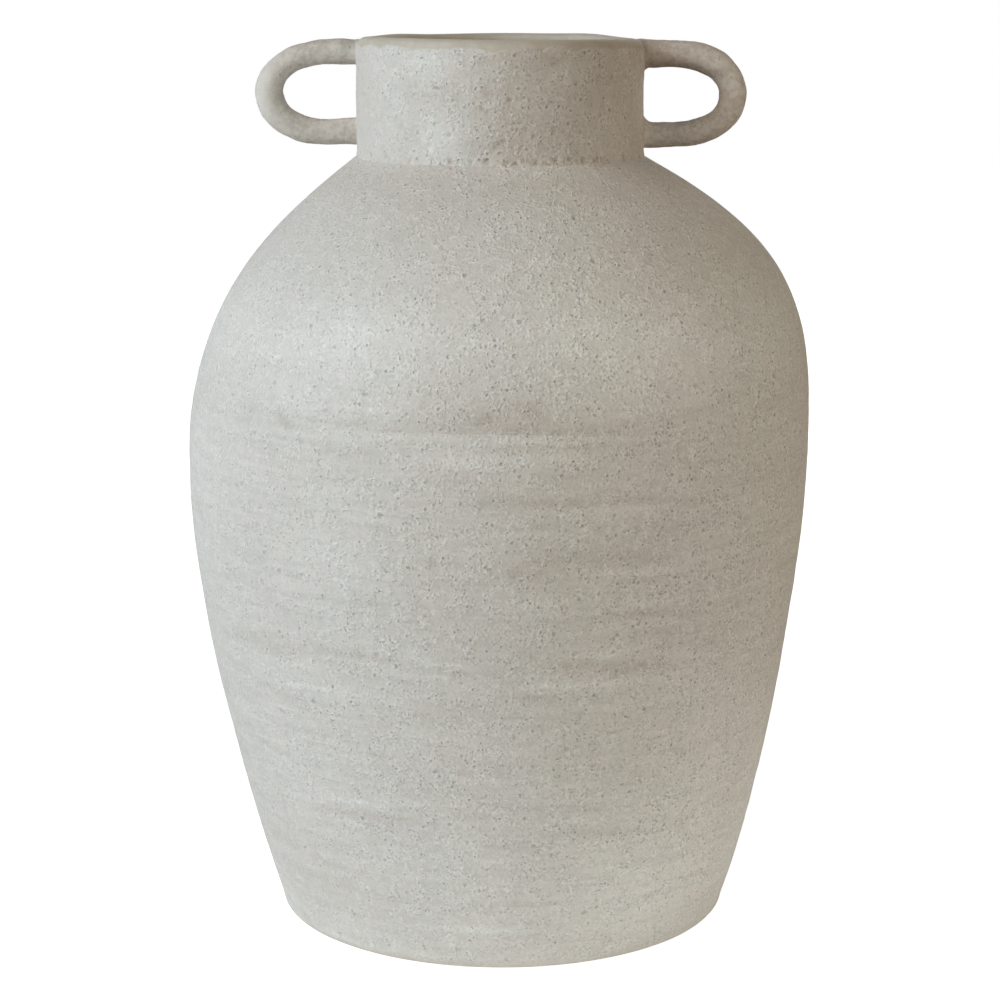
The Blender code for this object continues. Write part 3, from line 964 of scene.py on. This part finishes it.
def handle(node, side, stations, corners, tone, patches, seed, material):
    """A rolled coil of uneven thickness along its stations of reach, height and radius in mm."""
    reach, height, radius = (smooth_line(stations, COIL_RINGS) / MILLIMETRES).T
    line = np.stack([side * reach, 0 * reach, height], axis=1)
    along = directions(line)
    across = np.broadcast_to((0.0, 1.0, 0.0), along.shape)
    up = -np.cross(along, across)
    turn = np.linspace(0, 2 * math.pi, COIL_SIDES, endpoint=False)[None, :, None]
    outward = across[:, None] * np.cos(turn) + up[:, None] * np.sin(turn)
    skin = line[:, None] + radius[:, None, None] * outward
    rolled = waves(skin, *COIL_LUMPS, seed) + waves(skin, *COIL_DENTS, seed + 1)
    grain = waves(skin, *COIL_GRAIN, seed + 2)
    gap = np.hypot(skin[..., 0], skin[..., 1]) - NECK_RADIUS
    half = COIL_RINGS // 2
    ends = ((slice(0, half), -1, corners[0]), (slice(half, None), 1, corners[1]))
    for rings, hole_way, (hole_size, far_size) in ends:
        to_hole = 0.5 + 0.5 * hole_way * outward[rings, :, 2]
        rolled[rings] += to_hole * corner_at(gap[rings], hole_size)
        rolled[rings] += (1 - to_hole) * corner_at(gap[rings], far_size)
    points = skin + (rolled + grain)[..., None] * outward
    # Its tone attribute holds the painted light and shade
    mesh = grid_mesh(node + "_fired", points, 0, {"tone": handle_painted_light(points, tone, patches)})
    add_piece(node, mesh, material)


# Materials

def add_node(tree, kind, inputs=None, **settings):
    """A shader node whose inputs are sockets to link or values to set, colours without alpha."""
    made = tree.nodes.new("ShaderNode" + kind)
    for key, value in settings.items():
        setattr(made, key, value)
    for key, value in (inputs or {}).items():
        socket = made.inputs[key]
        if isinstance(value, bpy.types.NodeSocket):
            tree.links.new(value, socket)
        else:
            socket.default_value = (*value, 1.0) if socket.type == "RGBA" else value
    return made


def math_node(tree, operation, *values):
    return add_node(tree, "Math", dict(enumerate(values)), operation=operation).outputs[0]


def product(tree, first, *others):
    for other in others:
        first = math_node(tree, "MULTIPLY", first, other)
    return first


def weighted_sum(tree, parts, weights):
    """Sum of the parts that the weights name, each times its weight."""
    total = 0.0
    for name, weight in weights.items():
        total = math_node(tree, "MULTIPLY_ADD", parts[name], weight, total)
    return total


def remap(tree, value, low, high, to_low=0.0, to_high=1.0):
    """A smooth step from one value to another while the input goes from low to high."""
    inputs = {"Value": value, "From Min": low, "From Max": high, "To Min": to_low, "To Max": to_high}
    return add_node(tree, "MapRange", inputs, interpolation_type="SMOOTHSTEP").outputs[0]


def mix_color(tree, share, first, second, blend="MIX"):
    """Mix of two colours; a Mix node has its colours at inputs 6 and 7 and output 2."""
    inputs = {0: share, 6: first, 7: second}
    return add_node(tree, "Mix", inputs, data_type="RGBA", blend_type=blend).outputs[2]


def multiply_color(tree, color, factor):
    return mix_color(tree, 1.0, color, factor, "MULTIPLY")


def toned(tree, color, tone):
    """A colour made lighter by a tone above 0, and darker and warmer by one below 0."""
    shade = math_node(tree, "MULTIPLY_ADD", tone, TONE_CONTRAST, 1.0)
    green = math_node(tree, "POWER", shade, TONE_GREEN)
    blue = math_node(tree, "POWER", shade, TONE_BLUE)
    factor = add_node(tree, "CombineXYZ", {0: shade, 1: green, 2: blue}).outputs[0]
    return multiply_color(tree, color, factor)


def attribute_of(tree, name):
    return add_node(tree, "Attribute", attribute_name=name).outputs["Fac"]


def noise_at(tree, place, size, detail, roughness, scale=None):
    """Noise from 0 to 1 with features of about the given size in metres."""
    if scale:
        place = add_node(tree, "Mapping", {"Vector": place, "Scale": scale}).outputs[0]
    inputs = {"Vector": place, "Scale": 1 / size, "Detail": detail, "Roughness": roughness}
    return add_node(tree, "TexNoise", inputs).outputs[0]


def cells_at(tree, place, spacing):
    inputs = {"Vector": place, "Scale": 1 / spacing, "Randomness": 1.0}
    return add_node(tree, "TexVoronoi", inputs).outputs


def shaken(tree, place):
    """Coordinates shaken a little, so that pits and grains in them aren't quite round."""
    noise = add_node(tree, "TexNoise", {"Vector": place, "Scale": 1 / SHAKE_SIZE, "Detail": 1.0})
    inputs = {0: noise.outputs["Color"], 1: (SHAKE, SHAKE, SHAKE), 2: place}
    return add_node(tree, "VectorMath", inputs, operation="MULTIPLY_ADD").outputs[0]


def pits_at(tree, place, spacing, radius, share):
    """Bowls and raised rims of pits in a share of the cells of a given spacing, from 0 to 1."""
    cells = cells_at(tree, place, spacing)
    chances = add_node(tree, "SeparateColor", {"Color": cells["Color"]}).outputs
    smallest, largest = (part * radius / spacing for part in BOWL_SIZES)
    size = remap(tree, chances[1], 0.0, 1.0, smallest, largest)
    away = math_node(tree, "DIVIDE", cells["Distance"], size)
    present = math_node(tree, "LESS_THAN", chances[0], share)
    present = product(tree, present, remap(tree, chances[2], 0.0, 1.0, BOWL_SHALLOW, 1.0))
    bowl = product(tree, remap(tree, away, *BOWL_EDGE, 1.0, 0.0), present)
    rising = product(tree, remap(tree, away, *PIT_RIM_RISE), present)
    return bowl, product(tree, rising, remap(tree, away, *PIT_RIM_FALL, 1.0, 0.0))


def new_material(name):
    made = bpy.data.materials.new(name)
    made.use_nodes = True
    tree = made.node_tree
    shader = tree.nodes["Principled BSDF"]
    shader.inputs["Metallic"].default_value = 0.0
    shader.inputs["Specular IOR Level"].default_value = SHEEN_LEVEL
    return made, tree, shader


def add_bump(tree, shader, height):
    """Bump from a height in millimetres."""
    inputs = {"Height": height, "Strength": 1.0, "Distance": 1 / MILLIMETRES}
    tree.links.new(add_node(tree, "Bump", inputs).outputs[0], shader.inputs["Normal"])


def coat_grittiness(tree, axes):
    """How gritty the coat is: more to the right, less at the foot and on the left of the neck."""
    side = remap(tree, axes["X"], *SIDES, LEFT_CALM, RIGHT_ROUGH)
    foot = remap(tree, axes["Z"], *FOOT_RISE, FOOT_CALM, 1.0)
    neck_side = remap(tree, axes["X"], -NECK_RADIUS, NECK_CALM_END, NECK_CALM, 1.0)
    neck = remap(tree, axes["Z"], NECK_ROOT, NECK_ROOT + NECK_CALM_RISE, 1.0, neck_side)
    return product(tree, side, foot, neck)


def coat_parts(tree, place):
    """Pits, grains and noises that the bump and the colour of the coat share, by name."""
    axes = add_node(tree, "SeparateXYZ", {"Vector": place}).outputs
    gritty = coat_grittiness(tree, axes)
    cluster = remap(tree, noise_at(tree, place, *CLUSTER), *CLUSTER_RANGE, CALM, ROUGH)
    cluster = product(tree, cluster, gritty)
    loose = shaken(tree, place)
    fine_pits, fine_rims = pits_at(tree, loose, *FINE_PITS)
    pits, rims = pits_at(tree, loose, *MIDDLE_PITS)
    large_pits, large_rims = pits_at(tree, loose, *LARGE_PITS)
    streak = math_node(tree, "SUBTRACT", noise_at(tree, place, *STREAK, STREAK_SCALE), 0.5)
    return {
        "cluster": cluster,
        "fine_pits": product(tree, fine_pits, cluster),
        "fine_rims": fine_rims,
        "pits": product(tree, pits, gritty),
        "rims": product(tree, rims, gritty),
        "large_pits": large_pits,
        "large_rims": large_rims,
        "granules": remap(tree, cells_at(tree, loose, GRANULE)["Distance"], *GRANULE_EDGE, 1.0, 0.0),
        "grit": noise_at(tree, place, *GRIT),
        "swell": noise_at(tree, place, *SWELL),
        "streak": product(tree, streak, remap(tree, axes["Z"], *STREAK_RISE, 1.0, STREAK_CALM)),
        "shoulder": remap(tree, axes["Z"], *SHOULDER_RISE, 1.0, SHOULDER_CALM),
    }


def coat_height(tree, parts):
    """Height of the coat in millimetres, from its grit, pits and swells."""
    share = product(tree, parts["cluster"], parts["shoulder"])
    gritty = product(tree, weighted_sum(tree, parts, GRITTY_HEIGHTS), share)
    return weighted_sum(tree, {"gritty": gritty, **parts}, COAT_HEIGHTS)


def coat_color(tree, place, parts):
    """Colour of the coat: mottled and grained, paler on its grains and rims, darker in its pits, partly
    stain and partly painted shade.
    """
    noises = {
        "mottle": noise_at(tree, place, *MOTTLE),
        "cloud": noise_at(tree, place, *CLOUD),
        "sand": noise_at(tree, place, *SAND),
        **parts,
    }
    patch = weighted_sum(tree, noises, PATCH_SHARES)
    color = mix_color(tree, remap(tree, patch, *PATCH_RANGE), *COAT_COLORS)
    warmth = remap(tree, noise_at(tree, place, *WARMTH), *WARMTH_RANGE)
    color = multiply_color(tree, color, mix_color(tree, warmth, *TINTS))
    grainy = weighted_sum(tree, noises, GRAINY_SHARES)
    shade = remap(tree, grainy, *NOISE_RANGE, -GRIT_CONTRAST, GRIT_CONTRAST)
    shade = math_node(tree, "MULTIPLY_ADD", shade, parts["cluster"], 1.0)
    shade = math_node(tree, "MULTIPLY_ADD", parts["streak"], STREAK_CONTRAST, shade)
    color = multiply_color(tree, color, shade)
    fine_raised = product(tree, weighted_sum(tree, parts, FINE_RAISED_SHARES), parts["cluster"])
    raised = weighted_sum(tree, {"fine_raised": fine_raised, **parts}, RAISED_SHARES)
    color = mix_color(tree, raised, color, GRAIN_COLOR)
    hollow = math_node(tree, "MAXIMUM", parts["pits"], parts["large_pits"])
    hollow = math_node(tree, "MAXIMUM", hollow, product(tree, parts["fine_pits"], FINE_PIT_STAIN_AND_SHADE))
    return mix_color(tree, product(tree, hollow, PIT_STAIN_AND_SHADE), color, PIT_COLOR)


def coat_material():
    """Gritty slip coat where the coat attribute is 1, smooth bare clay where it is 0."""
    made, tree, shader = new_material("gritty_slip_coat")
    place = add_node(tree, "TexCoord").outputs["Object"]
    coat = attribute_of(tree, "coat")
    parts = coat_parts(tree, place)
    rings = noise_at(tree, place, *CLAY_RING, CLAY_RING_SCALE)
    height = product(tree, coat_height(tree, parts), coat)
    add_bump(tree, shader, math_node(tree, "ADD", height, product(tree, rings, CLAY_RING_HEIGHT)))

    clay_noise = noise_at(tree, place, *CLAY)
    clay = mix_color(tree, remap(tree, clay_noise, *NOISE_RANGE), *CLAY_COLORS)
    color = mix_color(tree, coat, clay, coat_color(tree, place, parts))
    # The tone lightens and darkens the colour with painted light and shade, and with the coat's own tone
    tree.links.new(toned(tree, color, attribute_of(tree, "tone")), shader.inputs["Base Color"])

    matt = remap(tree, parts["grit"], *NOISE_RANGE, *COAT_MATT)
    bare = remap(tree, clay_noise, *NOISE_RANGE, *CLAY_MATT)
    more = product(tree, math_node(tree, "SUBTRACT", matt, bare), coat)
    tree.links.new(math_node(tree, "ADD", bare, more), shader.inputs["Roughness"])
    return made


def handle_material():
    """The smoother, mottled slip of the handles, with small shallow pits."""
    made, tree, shader = new_material("handle_slip")
    place = add_node(tree, "TexCoord").outputs["Object"]
    pits, rims = pits_at(tree, shaken(tree, place), *HANDLE_PITS)
    parts = {
        "blotch": noise_at(tree, place, *BLOTCH),
        "fine": noise_at(tree, place, *FINE_MOTTLE),
        "speck": noise_at(tree, place, *SPECK),
        "pits": pits,
        "rims": rims,
    }
    add_bump(tree, shader, weighted_sum(tree, parts, HANDLE_HEIGHTS))
    tone = attribute_of(tree, "tone")
    patch = remap(tree, weighted_sum(tree, parts, HANDLE_SHARES), *HANDLE_RANGE)
    color = mix_color(tree, patch, *HANDLE_COLORS)
    # Tones above 0 mix in the colour of the painted highlights, and tones below 0 darken it as painted
    # shade
    color = mix_color(tree, remap(tree, tone, 0.0, HIGHLIGHT_TONE), color, HANDLE_HIGHLIGHT)
    color = toned(tree, color, math_node(tree, "MINIMUM", tone, 0.0))
    color = mix_color(tree, product(tree, pits, PIT_STAIN_AND_SHADE), color, PIT_COLOR)
    tree.links.new(color, shader.inputs["Base Color"])
    matt = remap(tree, parts["fine"], *NOISE_RANGE, *HANDLE_MATT)
    tree.links.new(matt, shader.inputs["Roughness"])
    return made


# Studio

def is_seen(tree):
    """1 for rays from the camera, in mirrors and through glass, 0 for light on the object."""
    path = add_node(tree, "LightPath").outputs
    seen = math_node(tree, "MAXIMUM", path["Is Camera Ray"], path["Is Glossy Ray"])
    return math_node(tree, "MAXIMUM", seen, path["Is Transmission Ray"])


def empty_tree(owner):
    owner.use_nodes = True
    owner.node_tree.nodes.clear()
    return owner.node_tree


def add_floor():
    """A pale floor that stays white where no shadow falls on it, and glows up at the vase."""
    bpy.ops.mesh.primitive_plane_add(size=FLOOR_SIZE)
    ground = bpy.context.object
    ground.name = "floor"
    made = bpy.data.materials.new("pale_floor")
    tree = empty_tree(made)
    matt = add_node(tree, "BsdfDiffuse", {"Color": FLOOR_COLOR})
    place = add_node(tree, "TexCoord").outputs["Object"]
    away = add_node(tree, "VectorMath", {0: place}, operation="LENGTH").outputs["Value"]
    white = remap(tree, away, *FLOOR_SHADE_EDGE, FLOOR_SHADE, 1.0)
    near = remap(tree, away, *FLOOR_GLOW_EDGE, FLOOR_GLOW, 0.0)
    seen = is_seen(tree)
    color = mix_color(tree, seen, FLOOR_GLOW_COLOR, WHITE)
    lift = product(tree, seen, math_node(tree, "SUBTRACT", white, near))
    glow = add_node(tree, "Emission", {"Color": color, "Strength": math_node(tree, "ADD", lift, near)})
    both = add_node(tree, "AddShader", {0: matt.outputs[0], 1: glow.outputs[0]})
    add_node(tree, "OutputMaterial", {"Surface": both.outputs[0]})
    ground.data.materials.append(made)


def add_surround():
    """A surround that is seen as plain white and sends no light to the vase."""
    surround = bpy.data.worlds.new("studio")
    bpy.context.scene.world = surround
    tree = empty_tree(surround)
    back = add_node(tree, "Background", {"Color": WHITE, "Strength": is_seen(tree)})
    add_node(tree, "OutputWorld", {"Surface": back.outputs[0]})


def add_lamp(name, direction, rise, size, level, color):
    """A square soft box that looks at the middle of the vase."""
    data = bpy.data.lights.new(name, "AREA")
    data.shape = "SQUARE"
    data.size = size
    data.color = color
    data.energy = level * math.pi**2 * LAMP_DISTANCE**2
    box = bpy.data.objects.new(name, data)
    around, up = math.radians(direction), math.radians(rise)
    way = Vector((math.cos(up) * math.cos(around), math.cos(up) * math.sin(around), math.sin(up)))
    box.location = way * LAMP_DISTANCE + Vector((0, 0, LAMP_TARGET))
    box.rotation_euler = way.to_track_quat("Z", "Y").to_euler()
    box.visible_camera = False
    bpy.context.scene.collection.objects.link(box)


gritty_coat = coat_material()
foot_slab(gritty_coat)
lower_wall(gritty_coat)
upper_wall(gritty_coat)
neck_collar(gritty_coat)

handle_slip = handle_material()
handle("left_handle", -1, LEFT_STATIONS, LEFT_CORNERS, LEFT_TONE, LEFT_PAINTED_LIGHT, LEFT_SEED, handle_slip)
handle("right_handle", 1, RIGHT_STATIONS, RIGHT_CORNERS, RIGHT_PAINTED_SHADE, RIGHT_PAINTED_SHADOW_AND_LIGHT, RIGHT_SEED, handle_slip)

add_floor()
add_surround()
for soft_box in LAMPS:
    add_lamp(*soft_box)
bpy.context.scene.view_settings.view_transform = "Standard"
